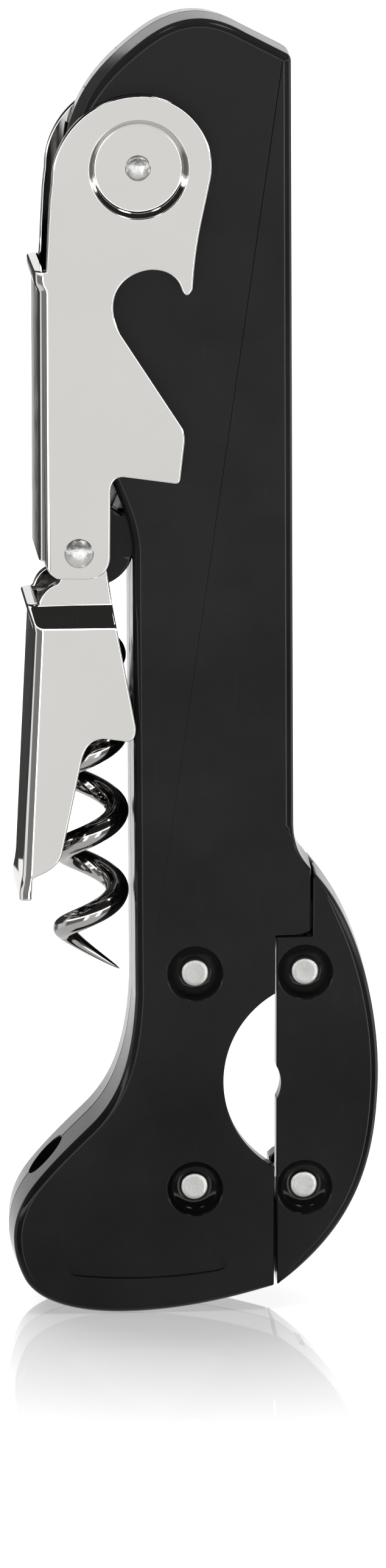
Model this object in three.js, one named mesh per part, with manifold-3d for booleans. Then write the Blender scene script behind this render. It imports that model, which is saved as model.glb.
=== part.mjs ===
// Two-step waiter's corkscrew with a four-wheel foil cutter in its handle.
// Millimetres. X to the right, Y into the object, Z up along the handle.
// The handle stands on its butt: Z = 0 is the lowest point and Y = 0 the middle of its depth.
import * as THREE from 'three';
import { mergeVertices } from 'three/addons/utils/BufferGeometryUtils.js';
import Module from 'manifold-3d';

const wasm = await Module();
wasm.setup();

// Driving dimensions
const HANDLE_HALF = 6.4;        // half the handle's depth
const EDGE_ROUND = 0.5;         // rounding of the moulded outline
const PARTING = 0.15;           // each shell stops this far from the middle
const GAP = 0.3;                // running gap between neighbours
const SHEET = 1.2;              // lever sheet thickness
const CHEEK_OUT = 7.9;          // outer face of the upper lever's cheeks
const NECK_OUT = 6.4;           // outer face of the lower lever where it enters the upper one
const BEND = 1.2;               // outer bend radius of the lever channels

const LEVER_PIVOT = [-6.35, 127.6];
const JOINT_PIVOT = [-12.9, 85.8];
const WORM_PIVOT = [-11.3, 86.2];
const JAW_PIVOT = [9.8, 49.6];

const CUTTER_MID = 26.3;        // height of the foil cutter's middle
const WHEEL_SPACING = 12.2;     // wheel pins above and below that middle
const LEFT_PIN_X = -0.15;
const RIGHT_PIN_X = 12.0;
const WHEEL_R = 3.3;
const WHEEL_Y = 2.3;            // plane of the cutting edges
const PIN_RECESS_R = 3.0;
const PIN_RECESS_DEPTH = 1.7;
const PIN_HEAD_R = 1.5;
const PIN_SHAFT_R = 1.0;

const SEAM_HANDLE_X = 8.45;     // handle side of the jaw seam
const SEAM_JAW_X = 8.87;        // jaw side of the jaw seam
const STEP_HANDLE = [12.5, 42.75];
const STEP_JAW = [12.9, 42.4];
const STEP_CHAMFER = 0.6;       // lets the jaw's shoulder swing past the handle's corner
const WINDOW = { x: 14.4, r: 11.4 };        // round window in the front plate
const CAVITY_R = 15.0;                      // space for the bottle neck behind the plate
const CAVITY_HANDLE_X = 13.0;
const CAVITY_JAW_X = -1.1;
const PLATE_BACK = -4.0;        // back of the thin front plate over the cavity

const CORD_HOLE = [-16.5, 16.8];
const CORD_HOLE_R = 2.7;

const WORM_R = 4.25;            // outer radius of the helix
const WIRE_R = 1.3;
const PITCH = 8.95;
const WORM_TIP_Z = 37.7;
const HELIX_TOP_Z = 76.4;

const steel = { color: 0xd6d4d1, roughness: 0.18, metalness: 1 };
const darkSteel = { color: 0x8e8d8b, roughness: 0.15, metalness: 1 };
const satinSteel = { color: 0xb8b8b4, roughness: 0.4, metalness: 1 };
const plastic = { color: 0x262626, roughness: 0.25, metalness: 0 };

const object = new THREE.Group();

// Solids and meshes
function solid(geometry) {
  const bare = geometry.clone();
  bare.deleteAttribute('normal');
  bare.deleteAttribute('uv');
  const merged = mergeVertices(bare, 1e-4);
  return new wasm.Manifold(new wasm.Mesh({
    numProp: 3,
    vertProperties: new Float32Array(merged.attributes.position.array),
    triVerts: new Uint32Array(merged.index.array),
  }));
}

function add(name, body, finish) {
  const mesh = body.getMesh();
  const geometry = new THREE.BufferGeometry();
  geometry.setAttribute('position', new THREE.BufferAttribute(mesh.vertProperties, 3));
  geometry.setIndex(new THREE.BufferAttribute(mesh.triVerts, 1));
  geometry.computeVertexNormals();
  const node = new THREE.Mesh(geometry, new THREE.MeshStandardMaterial(finish));
  node.name = name;
  object.add(node);
}

const join = (...bodies) => bodies.reduce((all, one) => all.add(one));
const cut = (body, ...tools) => tools.reduce((all, one) => all.subtract(one), body);

// An outline in X and Z, pushed along Y from y0 to y1
function plate(shape, y0, y1, round = 0, curveSegments = 6) {
  const geometry = new THREE.ExtrudeGeometry(shape, {
    depth: y1 - y0 - 2 * round,
    curveSegments,
    bevelEnabled: round > 0,
    bevelThickness: round,
    bevelSize: round,
    bevelOffset: -round,
    bevelSegments: 1,
  });
  geometry.rotateX(Math.PI / 2);
  geometry.translate(0, y1 - round, 0);
  return solid(geometry);
}

function polygon(points) {
  return new THREE.Shape(points.map(([x, z]) => new THREE.Vector2(x, z)));
}

function box(x0, x1, y0, y1, z0, z1) {
  const geometry = new THREE.BoxGeometry(x1 - x0, y1 - y0, z1 - z0);
  geometry.translate((x0 + x1) / 2, (y0 + y1) / 2, (z0 + z1) / 2);
  return solid(geometry);
}

// A round bar along Y; rEnd tapers it towards y1
function round([x, z], r, y0, y1, segments = 24, rEnd = r) {
  const geometry = new THREE.CylinderGeometry(rEnd, r, y1 - y0, segments);
  geometry.translate(x, (y0 + y1) / 2, z);
  return solid(geometry);
}

// A turned piece about an axis along Y; the profile is [radius, y] from axis to axis
function turned([x, z], profile, segments = 24) {
  const geometry = new THREE.LatheGeometry(profile.map(([r, y]) => new THREE.Vector2(r, y)), segments);
  geometry.translate(x, 0, z);
  return solid(geometry);
}

// Handle and jaw outlines
function fullOutline() {
  const s = new THREE.Shape();
  s.moveTo(10.7, 55);
  s.lineTo(10.25, 139);
  s.quadraticCurveTo(10.25, 139.55, 9.8, 139.8);
  s.lineTo(5.2, 142.15);
  s.quadraticCurveTo(2.6, 143.65, 0.3, 143.65);
  s.quadraticCurveTo(-2.6, 143.65, -5.4, 141.6);
  s.bezierCurveTo(-9, 138.9, -13.4, 135, -13.5, 128.6);
  s.lineTo(-12.9, 108);
  s.bezierCurveTo(-12.6, 97, -7, 91.5, -6.95, 85.5);
  s.lineTo(-6.7, 36);
  s.bezierCurveTo(-7, 28.5, -8.6, 24.4, -11.6, 21.4);
  s.bezierCurveTo(-14.5, 18.6, -16.5, 16.6, -18.2, 14.4);
  s.bezierCurveTo(-20.4, 11.5, -21, 7.8, -19, 3.9);
  s.bezierCurveTo(-17.6, 1.3, -13.4, 0, -8, 0);
  s.bezierCurveTo(-3, 0, 3, 0.9, 9.1, 3);
  s.bezierCurveTo(18.2, 9.3, 19.75, 17.6, 20.1, 24);
  s.bezierCurveTo(20.4, 28.5, 19.95, 33.2, 18.75, 37.9);
  s.bezierCurveTo(17.5, 42.7, 15.6, 46.9, 12.8, 49.85);
  s.bezierCurveTo(11.6, 51.1, 10.7, 52.5, 10.7, 55);
  return s;
}

function handleRegion() {
  return polygon([
    [-30, -5], [SEAM_HANDLE_X, -5], [SEAM_HANDLE_X, STEP_HANDLE[1]],
    [STEP_HANDLE[0] - STEP_CHAMFER, STEP_HANDLE[1]], [STEP_HANDLE[0], STEP_HANDLE[1] + STEP_CHAMFER],
    [STEP_HANDLE[0], 60], [20, 60], [20, 150], [-30, 150],
  ]);
}

function jawRegion() {
  return polygon([
    [SEAM_JAW_X, -5], [30, -5], [30, 60], [13.5, 60], [13.5, 50], [STEP_JAW[0], 49], STEP_JAW,
    [SEAM_JAW_X, STEP_JAW[1]],
  ]);
}

// Worm ears: rounded bosses that stand out of the handle's left edge
function ear(y0, y1) {
  const disc = round(WORM_PIVOT, 4.6, y0, y1, 32);
  const root = box(WORM_PIVOT[0] + 2, -5, y0, y1, WORM_PIVOT[1] - 1.2, WORM_PIVOT[1] + 3.2);
  return cut(join(disc, root), round(WORM_PIVOT, 1.5, y0 - 1, y1 + 1, 20));
}

function corePlateOutline(grow = 0) {
  return polygon([
    [-10.2 - grow, 133 + grow], [1.5 + grow, 133 + grow], [4 + grow, 128], [4 + grow, 66 - grow],
    [-3.5 - grow, 66 - grow], [-3.5 - grow, 84 - grow], [-5.2 - grow, 89.6 - grow], [-9.7 - grow, 89.6 - grow],
    [-9.7 - grow, 93.5 + grow], [-8 - grow, 96], [-10.2 - grow, 104],
  ]);
}

// One moulded half: side is -1 for the front and +1 for the rear
function shellHalf(region, side) {
  const whole = plate(fullOutline(), -HANDLE_HALF, HANDLE_HALF, EDGE_ROUND);
  const slab = side < 0
    ? box(-40, 40, -20, -PARTING, -20, 170)
    : box(-40, 40, PARTING, 20, -20, 170);
  return whole.intersect(plate(region, -20, 20)).intersect(slab);
}

function pinRecess(x, z, side) {
  const face = side * HANDLE_HALF;
  const floor = side * (HANDLE_HALF - PIN_RECESS_DEPTH);
  const hole = round([x, z], PIN_SHAFT_R + GAP, -10, 10, 12);
  const seat = side < 0
    ? round([x, z], PIN_RECESS_R, face - 1, floor, 24)
    : round([x, z], PIN_RECESS_R, floor, face + 1, 24);
  const counterbore = side < 0
    ? round([x, z], PIN_HEAD_R + GAP, -10, floor + 1.5, 16)
    : round([x, z], PIN_HEAD_R + GAP, floor - 1.5, 10, 16);
  return join(hole, seat, counterbore);
}

const pinHeights = [CUTTER_MID + WHEEL_SPACING, CUTTER_MID - WHEEL_SPACING];

function handleShell(side) {
  let body = shellHalf(handleRegion(), side);
  body = join(body, side < 0 ? ear(-4.9, -2.9) : ear(2.9, 4.9));
  const inward = (depth) => (side < 0 ? [-depth, 1] : [-1, depth]);
  const tools = [];

  // Recess of the lever pivot, open to the left edge, and the hole for its bush
  const recess = join(round(LEVER_PIVOT, 6.5, 4.3, 12, 32), box(-16, LEVER_PIVOT[0], 4.3, 12, 122, 131));
  tools.push(side < 0 ? recess.mirror([0, 1, 0]) : recess);
  tools.push(round(LEVER_PIVOT, 2.5, -20, 20, 28));

  // Recess for the steel core plate and hollows that lighten the moulding
  tools.push(plate(corePlateOutline(GAP), ...inward(1.3)));
  for (const [z0, z1] of [[68, 80], [82, 100], [103, 117]]) {
    tools.push(box(-2.8, 7.6, ...inward(4.4), z0, z1));
  }
  tools.push(box(0.6, 7.6, ...inward(4.4), 120, 136));

  // Foil cutter: window in the front plate and the deeper cavity behind it
  const cavity = round([CAVITY_HANDLE_X, CUTTER_MID], CAVITY_R, PLATE_BACK, 12, 72);
  const window = round([WINDOW.x, CUTTER_MID - 0.1], WINDOW.r, -12, 12, 72);
  tools.push(cavity, window);
  for (const z of pinHeights) {
    tools.push(pinRecess(LEFT_PIN_X, z, side));
    if (side > 0) tools.push(round([LEFT_PIN_X, z], WHEEL_R + 0.4, -1, 3.7, 24));
  }

  // Slot for the jaw's steel arm and the spring above it
  tools.push(plate(polygon([
    [7.9, 48.6], [9.2, 47.7], [10.6, 43.2], [20, 42.9], [20, 49.3], [12.3, 49.3], [11.4, 50.5],
    [10.2, 51.4], [8.6, 51.1], [7.8, 50],
  ]), ...inward(1.3)));
  tools.push(round(JAW_PIVOT, 1.05, ...inward(4), 20));
  tools.push(box(1.5, 9.9, ...inward(1.3), 50.4, 52.9));

  // Slot for the jaw's guide tongue and the blind cord hole in the butt's edge
  tools.push(box(3.2, 20, ...inward(1.9), 4.2, 11.9));
  tools.push(cordHole());
  if (side < 0) tools.push(plate(wormSpringPocket(), -2.9, 1));
  if (side < 0) tools.push(plate(buttPanel(), -12, -HANDLE_HALF + 0.25));
  return cut(body, ...tools);
}

// A blind hole square to the butt's slanting left edge
function cordHole() {
  const geometry = new THREE.CylinderGeometry(CORD_HOLE_R, CORD_HOLE_R, 12, 24);
  geometry.rotateZ(Math.PI / 2);
  geometry.rotateY(Math.PI / 4);
  geometry.translate(CORD_HOLE[0], 0, CORD_HOLE[1]);
  return solid(geometry);
}

// A shallow fan-shaped panel pressed into the butt's front face
function buttPanel() {
  const s = new THREE.Shape();
  s.moveTo(-14.1, 5.9);
  s.bezierCurveTo(-11, 8.6, -7, 11, -4, 11.6);
  s.bezierCurveTo(-1.4, 10.6, 1.4, 8.2, 3.3, 5.8);
  s.bezierCurveTo(3.6, 5.2, 3, 4.7, 2.2, 4.6);
  s.bezierCurveTo(-3, 3.8, -8, 3.7, -13.2, 4.3);
  s.bezierCurveTo(-14.2, 4.5, -14.5, 5.2, -14.1, 5.9);
  return s;
}

function jawShell(side) {
  const inward = (depth) => (side < 0 ? [-depth, 1] : [-1, depth]);
  const tools = [
    round([CAVITY_JAW_X, CUTTER_MID], CAVITY_R, PLATE_BACK, 12, 72),
    round([SEAM_JAW_X - 3.2, CUTTER_MID - 0.3], 3.75, -12, 12, 32),
    plate(jawPlateOutline(GAP), ...inward(1.3)),
    box(0, 12.6, ...inward(1.9), 4.5, 11.6),
    box(14.6, 17.4, ...inward(4.2), 17, 35),
  ];
  for (const z of pinHeights) {
    tools.push(pinRecess(RIGHT_PIN_X, z, side));
    if (side > 0) tools.push(round([RIGHT_PIN_X, z], WHEEL_R + 0.4, -1, 3.7, 24));
  }
  return cut(shellHalf(jawRegion(), side), ...tools);
}

// Steel arm that carries the jaw on its hinge pin
function jawPlateOutline(grow = 0) {
  return polygon([
    [12.9 - 3 * grow, 43.3 - grow], [13.2 - grow, 42], [10.4 - grow, 41 + grow], [10.2 - grow, 36.2 - grow],
    [13.8 + grow, 36.2 - grow], [16.2 + grow, 41.6], [15.2 + grow, 44.6 + grow], [12.9 - 3 * grow, 45.9 + grow],
  ]);
}

function jawPlate() {
  const arm = plate(polygon([
    [8.7, 48.7], [10, 47.6], [11.2, 43.6], [13.2, 43.4], [13.2, 45.2], [12.3, 45.5], [11.1, 48.9], [10.5, 50.2],
  ]), -0.9, 0.9);
  const eye = round(JAW_PIVOT, 1.5, -0.9, 0.9, 28);
  const body = join(arm, eye, plate(jawPlateOutline(), -0.9, 0.9));
  return cut(
    body,
    round(JAW_PIVOT, 1.0, -3, 3, 20),
    round([RIGHT_PIN_X, pinHeights[0]], PIN_SHAFT_R + GAP, -3, 3, 20),
  );
}

function jawSpring() {
  const strip = polygon([
    [1.9, 51.9], [2, 52.5], [6.2, 52.3], [9.6, 51.85], [9.5, 51.45], [6.1, 51.7],
  ]);
  return plate(strip, -0.9, 0.9);
}

// Levers: a channel is lofted up Z from sections [z, half width, outer face of the web], lowest first
function channel(sections, xOpen) {
  const ring = (w, xw, t) => {
    const pts = [];
    const r = Math.max(BEND - t, 0.25);
    const steps = 3;
    pts.push([xOpen, -w + t]);
    for (let i = 0; i <= steps; i += 1) {
      const a = (i / steps) * Math.PI / 2;
      pts.push([xw + t + r - r * Math.sin(a), -w + t + r - r * Math.cos(a)]);
    }
    for (let i = 0; i <= steps; i += 1) {
      const a = (i / steps) * Math.PI / 2;
      pts.push([xw + t + r - r * Math.cos(a), w - t - r + r * Math.sin(a)]);
    }
    pts.push([xOpen, w - t]);
    return pts;
  };
  const position = [];
  const index = [];
  const loops = sections.map(([z, w, xw]) => {
    const outer = ring(w, xw, 0);
    const inner = ring(w, xw, SHEET).reverse();
    return [...outer, ...inner].map(([x, y]) => [x, y, z]);
  });
  const n = loops[0].length;
  loops.flat().forEach((p) => position.push(...p));
  for (let k = 0; k + 1 < loops.length; k += 1) {
    for (let i = 0; i < n; i += 1) {
      const a = k * n + i;
      const b = k * n + ((i + 1) % n);
      index.push(a, a + n, b, b, a + n, b + n);
    }
  }
  const last = (loops.length - 1) * n;
  for (let i = 0; i + 1 < n / 2; i += 1) {
    const j = n - 1 - i;
    index.push(i, i + 1, j, i + 1, j - 1, j);
    index.push(last + i, last + j, last + i + 1, last + i + 1, last + j, last + j - 1);
  }
  const geometry = new THREE.BufferGeometry();
  geometry.setAttribute('position', new THREE.BufferAttribute(new Float32Array(position), 3));
  geometry.setIndex(index);
  return solid(geometry);
}

function upperLeverOutline() {
  const s = new THREE.Shape();
  s.moveTo(-6.2, 135.65);
  s.absarc(-6.2, 127.9, 7.75, Math.PI / 2, -0.25, true);
  s.bezierCurveTo(0.7, 122.8, -0.2, 120, -0.5, 114.6);
  s.quadraticCurveTo(-1.1, 113.3, -1.7, 114.4);
  s.bezierCurveTo(-2.1, 116, -3.4, 116.75, -5.1, 116.7);
  s.bezierCurveTo(-7.3, 116.5, -9.1, 115, -9.1, 112.7);
  s.quadraticCurveTo(-9.1, 111.2, -8.3, 109.8);
  s.lineTo(-1.8, 99.8);
  s.quadraticCurveTo(-1.25, 98.8, -1.4, 97.7);
  s.lineTo(-1.85, 93.8);
  s.quadraticCurveTo(-1.9, 93.3, -2.4, 93.3);
  s.lineTo(-8.1, 94.1);
  s.quadraticCurveTo(-9.4, 94.1, -9.45, 92.4);
  s.lineTo(-9.5, 85.2);
  s.quadraticCurveTo(-9.7, 83, -12.2, 82.9);
  s.lineTo(-15, 82.95);
  s.quadraticCurveTo(-16.2, 83.1, -16.7, 84.9);
  s.lineTo(-19, 85);
  s.lineTo(-19, 116.7);
  s.lineTo(-16.4, 116.7);
  s.lineTo(-16, 124.2);
  s.absarc(-6.3, 126.15, 9.47, Math.PI, Math.PI / 2, true);
  return s;
}

function upperLever() {
  const sections = [
    [80, CHEEK_OUT, -17.25], [114.8, CHEEK_OUT, -17.25], [116.4, CHEEK_OUT, -17.7], [140, CHEEK_OUT, -17.7],
  ];
  let body = channel(sections, 4).intersect(plate(upperLeverOutline(), -12, 12, 0, 7));
  for (const side of [-1, 1]) {
    const cup = round(LEVER_PIVOT, 5.9, 4.7, CHEEK_OUT, 36, 6.2);
    const bowl = round(LEVER_PIVOT, 4.9, 5.9, CHEEK_OUT + 0.1, 36, 5.4);
    const place = (one) => (side < 0 ? one.mirror([0, 1, 0]) : one);
    body = cut(join(body, place(cup)), place(bowl));
  }
  return cut(body, round(LEVER_PIVOT, 1.3, -12, 12, 16), round(JOINT_PIVOT, 1.3, -12, 12, 16));
}

function lowerLeverOutline() {
  const s = new THREE.Shape();
  const [jx, jz] = JOINT_PIVOT;
  s.moveTo(jx + 2.85, jz);
  s.absarc(jx, jz, 2.85, 0, Math.PI * 1.33, false);
  s.lineTo(-15, 81.8);
  s.quadraticCurveTo(-15.2, 79.9, -16.3, 79.6);
  s.lineTo(-21, 79.6);
  s.lineTo(-21, 47);
  s.lineTo(-18.2, 47.3);
  s.lineTo(-18.1, 49.7);
  s.lineTo(-17.3, 50.1);
  s.quadraticCurveTo(-15.2, 50.9, -14.8, 52.6);
  s.lineTo(-12.7, 62.6);
  s.quadraticCurveTo(-12.2, 65.2, -10.2, 65.2);
  s.lineTo(-7.7, 64.85);
  s.quadraticCurveTo(-6.6, 64.9, -6.75, 66.6);
  s.lineTo(-8.9, 78);
  s.quadraticCurveTo(-9.7, 83, -10.05, jz);
  return s;
}

function lowerLever() {
  const sections = [
    [44, CHEEK_OUT, -19.95], [47.8, CHEEK_OUT, -19.85], [49.6, CHEEK_OUT, -19.2], [77.1, CHEEK_OUT, -17.85],
    [77.8, CHEEK_OUT, -17.95], [79.7, NECK_OUT, -18.6], [92, NECK_OUT, -18.6],
  ];
  const body = channel(sections, -4).intersect(plate(lowerLeverOutline(), -12, 12, 0, 7));
  return cut(body, round(JOINT_PIVOT, 1.3, -12, 12, 16));
}

// Worm: a tapered helix that joins a straight shank, with an eye on the pivot pin
function worm() {
  const [ax] = WORM_PIVOT;
  const mean = WORM_R - WIRE_R;
  const zRight = 46.9;                       // a height where the wire is furthest right
  const points = [];
  const phase = (z) => ((z - zRight) / PITCH) * 2 * Math.PI;
  const steps = Math.round(((HELIX_TOP_Z - WORM_TIP_Z) / PITCH) * 16);
  for (let i = 0; i <= steps; i += 1) {
    const t = i / steps;
    const z = WORM_TIP_Z + t * (HELIX_TOP_Z - WORM_TIP_Z);
    const blend = Math.min(1, (HELIX_TOP_Z - z) / 4);
    const r = mean * Math.sin(blend * Math.PI / 2);
    const grow = Math.min(1, 0.16 + (z - WORM_TIP_Z) / 4.6);
    points.push({ p: new THREE.Vector3(ax + r * Math.cos(phase(z)), r * Math.sin(phase(z)), z), r: WIRE_R * grow });
  }
  points.push({ p: new THREE.Vector3(ax, 0, 78.5), r: WIRE_R });
  points.push({ p: new THREE.Vector3(ax, 0, WORM_PIVOT[1]), r: WIRE_R });
  return cut(join(sweep(points, 8), round(WORM_PIVOT, 3.2, -2.6, 2.6, 28)), round(WORM_PIVOT, 1.5, -5, 5, 16));
}

// A round wire of varying radius through the given points
function sweep(points, sides) {
  const position = [];
  const index = [];
  let across = new THREE.Vector3(0, 1, 0);
  points.forEach(({ p, r }, i) => {
    const before = points[Math.max(i - 1, 0)].p;
    const after = points[Math.min(i + 1, points.length - 1)].p;
    const along = after.clone().sub(before).normalize();
    const u = across.clone().sub(along.clone().multiplyScalar(across.dot(along))).normalize();
    const v = along.clone().cross(u);
    across = u;
    for (let k = 0; k < sides; k += 1) {
      const a = (k / sides) * 2 * Math.PI;
      const q = p.clone().addScaledVector(u, r * Math.cos(a)).addScaledVector(v, r * Math.sin(a));
      position.push(q.x, q.y, q.z);
    }
  });
  for (let i = 0; i + 1 < points.length; i += 1) {
    for (let k = 0; k < sides; k += 1) {
      const a = i * sides + k;
      const b = i * sides + ((k + 1) % sides);
      index.push(a, b, a + sides, b, b + sides, a + sides);
    }
  }
  const last = (points.length - 1) * sides;
  for (let k = 1; k + 1 < sides; k += 1) {
    index.push(0, k + 1, k);
    index.push(last, last + k, last + k + 1);
  }
  const geometry = new THREE.BufferGeometry();
  geometry.setAttribute('position', new THREE.BufferAttribute(new Float32Array(position), 3));
  geometry.setIndex(index);
  return solid(geometry);
}

// Leaf spring that holds the worm folded or open; it lies beside the core plate
function wormSpring() {
  return plate(polygon([
    [-5.2, 110], [-4.6, 110], [-4.9, 100], [-6.6, 93.5], [-8.5, 89.5], [-9.1, 89.7], [-7.3, 94], [-5.5, 100.2],
  ]), -2.5, -1.6);
}

function wormSpringPocket() {
  return polygon([
    [-5.6, 110.4], [-4.2, 110.4], [-4.5, 100], [-6.1, 93.3], [-6.1, 88], [-14, 88], [-14, 90], [-9.3, 90.6],
    [-7.8, 94.2], [-5.9, 100.3],
  ]);
}

function corePlate() {
  return cut(
    plate(corePlateOutline(), -1, 1),
    round(LEVER_PIVOT, 2.5, -5, 5, 28),
    round([0.6, 111], 2.6, -5, 5, 24),
    round([0.6, 92], 2.6, -5, 5, 24),
    round([0.6, 74], 2.6, -5, 5, 24),
  );
}

function pivotRivet() {
  return turned(LEVER_PIVOT, [
    [0, -6.95], [0.8, -6.85], [1.25, -6.55], [1.4, -6.2], [1, -6.2], [1, 6.2], [1.4, 6.2], [1.25, 6.55],
    [0.8, 6.85], [0, 6.95],
  ], 16);
}

function pivotBush() {
  return cut(round(LEVER_PIVOT, 2.2, -4.2, 4.2, 20), round(LEVER_PIVOT, 1.3, -6, 6, 16));
}

function jointRivet(side) {
  const rivet = turned(JOINT_PIVOT, [
    [0, 5.05], [1, 5.05], [1, 8.2], [1.6, 8.2], [1.45, 8.6], [0.9, 8.9], [0, 9],
  ], 16);
  return side < 0 ? rivet.mirror([0, 1, 0]) : rivet;
}

function wheelPin(x, z) {
  const face = HANDLE_HALF - PIN_RECESS_DEPTH + 0.4;
  return turned([x, z], [
    [0, -face], [PIN_HEAD_R, -face], [PIN_HEAD_R, -face + 1.3], [PIN_SHAFT_R, -face + 1.3],
    [PIN_SHAFT_R, face - 1.3], [PIN_HEAD_R, face - 1.3], [PIN_HEAD_R, face], [0, face],
  ], 16);
}

function wheel(x, z) {
  const disc = turned([x, z], [
    [0, WHEEL_Y - 1.05], [1.9, WHEEL_Y - 1.05], [2.1, WHEEL_Y - 0.35], [WHEEL_R, WHEEL_Y - 0.04],
    [WHEEL_R, WHEEL_Y + 0.04], [2.1, WHEEL_Y + 0.35], [1.9, WHEEL_Y + 1.05], [0, WHEEL_Y + 1.05],
  ], 24);
  return cut(disc, round([x, z], PIN_SHAFT_R + GAP, -8, 8, 12));
}

add('handle_shell_front', handleShell(-1), plastic);
add('handle_shell_rear', handleShell(1), plastic);
add('core_plate', corePlate(), satinSteel);
add('lever_pivot_bush', pivotBush(), satinSteel);
add('lever_pivot_rivet', pivotRivet(), satinSteel);
add('upper_lever', upperLever(), steel);
add('lower_lever', lowerLever(), steel);
add('lever_joint_rivet_front', jointRivet(-1), satinSteel);
add('lever_joint_rivet_rear', jointRivet(1), satinSteel);
add('worm', worm(), darkSteel);
add('worm_pivot_pin', round(WORM_PIVOT, 1.2, -4.85, 4.85), satinSteel);
add('worm_spring', wormSpring(), satinSteel);
add('jaw_shell_front', jawShell(-1), plastic);
add('jaw_shell_rear', jawShell(1), plastic);
add('jaw_arm', jawPlate(), satinSteel);
add('jaw_hinge_pin', round(JAW_PIVOT, 0.7, -3.8, 3.8, 20), satinSteel);
add('jaw_spring', jawSpring(), satinSteel);
add('jaw_guide_tongue', box(3.6, 12.2, -1.6, 1.6, 4.9, 11.2), plastic);
for (const [side, x] of [['left', LEFT_PIN_X], ['right', RIGHT_PIN_X]]) {
  for (const [level, z] of [['upper', pinHeights[0]], ['lower', pinHeights[1]]]) {
    add(`wheel_pin_${level}_${side}`, wheelPin(x, z), satinSteel);
    add(`cutter_wheel_${level}_${side}`, wheel(x, z), darkSteel);
  }
}

export default object;
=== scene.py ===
"""Looks of the lever corkscrew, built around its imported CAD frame.

Pieces are modelled in millimetres with the CAD's dimensions and scaled to metres at the end.
X is to the right, Y into the object, Z up; the handle stands on Z = 0.
"""

import math

import bmesh
import bpy
from mathutils import Matrix, Vector, noise


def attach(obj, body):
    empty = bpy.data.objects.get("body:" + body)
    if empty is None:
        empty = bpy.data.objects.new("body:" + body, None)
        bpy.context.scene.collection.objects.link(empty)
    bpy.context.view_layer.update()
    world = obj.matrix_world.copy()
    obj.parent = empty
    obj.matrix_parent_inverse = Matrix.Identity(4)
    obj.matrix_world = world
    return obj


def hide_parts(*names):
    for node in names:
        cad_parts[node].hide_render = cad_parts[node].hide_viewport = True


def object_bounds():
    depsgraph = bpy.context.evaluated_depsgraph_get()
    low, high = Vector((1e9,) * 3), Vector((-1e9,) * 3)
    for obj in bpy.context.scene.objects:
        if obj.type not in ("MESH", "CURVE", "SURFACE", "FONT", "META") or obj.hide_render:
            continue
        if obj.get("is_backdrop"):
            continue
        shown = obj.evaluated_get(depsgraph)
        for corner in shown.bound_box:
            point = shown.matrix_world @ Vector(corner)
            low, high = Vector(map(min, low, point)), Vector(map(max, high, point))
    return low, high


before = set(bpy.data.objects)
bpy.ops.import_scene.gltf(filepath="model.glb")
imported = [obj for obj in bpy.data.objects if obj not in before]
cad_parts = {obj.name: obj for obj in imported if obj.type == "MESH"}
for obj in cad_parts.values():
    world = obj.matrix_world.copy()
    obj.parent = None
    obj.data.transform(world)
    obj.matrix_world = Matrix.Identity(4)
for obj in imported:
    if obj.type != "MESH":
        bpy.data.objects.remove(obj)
cad_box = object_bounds()

MM = 0.001
SCENE = bpy.context.scene

# Dimensions of the CAD part, in millimetres
HALF = 6.4              # half the handle's depth
CHEEK_OUT = 7.9         # half the levers' width over their cheeks
NECK_OUT = 6.4          # half the width of the lower lever's neck
SHEET = 1.2             # thickness of the levers' sheet
BEND = 1.2              # outer radius of their bends
DIMPLE_FLOOR = 6.5      # depth of the dimple's face round the levers' pivot, from Y = 0
LEVER_PIVOT = (-6.35, 127.6)
JOINT_PIVOT = (-12.9, 85.8)
WORM_PIVOT = (-11.3, 86.2)
JAW_PIVOT = (9.8, 49.6)
CUTTER_MID = 26.3
PIN_Z = {"upper": CUTTER_MID + 12.2, "lower": CUTTER_MID - 12.2}
PIN_X = {"left": -0.15, "right": 12.0}
PIN_PROUD = {"upper": 1.3, "lower": 0.55}   # how far each pin's face stands over its recess floor
RIVET_TOP = {"pivot": 7.3, "joint": 8.9}
BORE = 1.12             # radius of the levers' rivet holes
RECESS_R = 3.0
RECESS_DEPTH = 1.7
HEAD_R = 1.5
SHAFT_R = 1.0
WHEEL_R = 3.3
WHEEL_Y = 2.3
CAVITY_R = 15.0
CAVITY_HANDLE = (13.0, CUTTER_MID)
CAVITY_JAW = (-1.1, CUTTER_MID)
SCALLOP = (5.62, CUTTER_MID - 0.3)
SHELF_SWEEP = 7.08      # radius swept by the jaw's shelf about its pivot
WINDOW = (14.4, CUTTER_MID - 0.1)
WINDOW_R = 11.4
PLATE_BACK = -4.0
CORD_HOLE = (-16.5, 16.8)
CORD_HOLE_R = 2.7
WORM_R = 4.25
WIRE_R = 1.3
PITCH = 8.95
WORM_LOW_Z = 37.7
HELIX_TOP_Z = 76.4

# Finer values that only the looks need
RIM = 1.0               # rounding of the handle's outer edges
SEAM_BREAK = 0.22       # rounding of a seam's edges, as a share of RIM
PARTING_BREAK = 0.16    # rounding along the parting line, as a share of RIM
FADE = 4                # length over which the outer rounding runs out into a seam
PARTING = 0.02          # half the gap between the two mouldings
CROWN = 0.25            # how far the moulded wall leans out at the parting line
SHEET_EDGE = 0.2        # rounding of the levers' sheared edges
FLAT = 0.002            # a point this close to a face's depth lies on the face
SNAP = 0.03             # points this close under a half's outer face are moved onto it
RECESS_LIP = 0.24       # rounding at the mouth of a pin's recess
PAST = 3                # how far a cutter reaches past the face that it opens
SHARP = math.radians(45)    # edges bent more than this are rounded
CREASE = math.radians(38)   # edges bent more than this are shaded as creases


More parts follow.
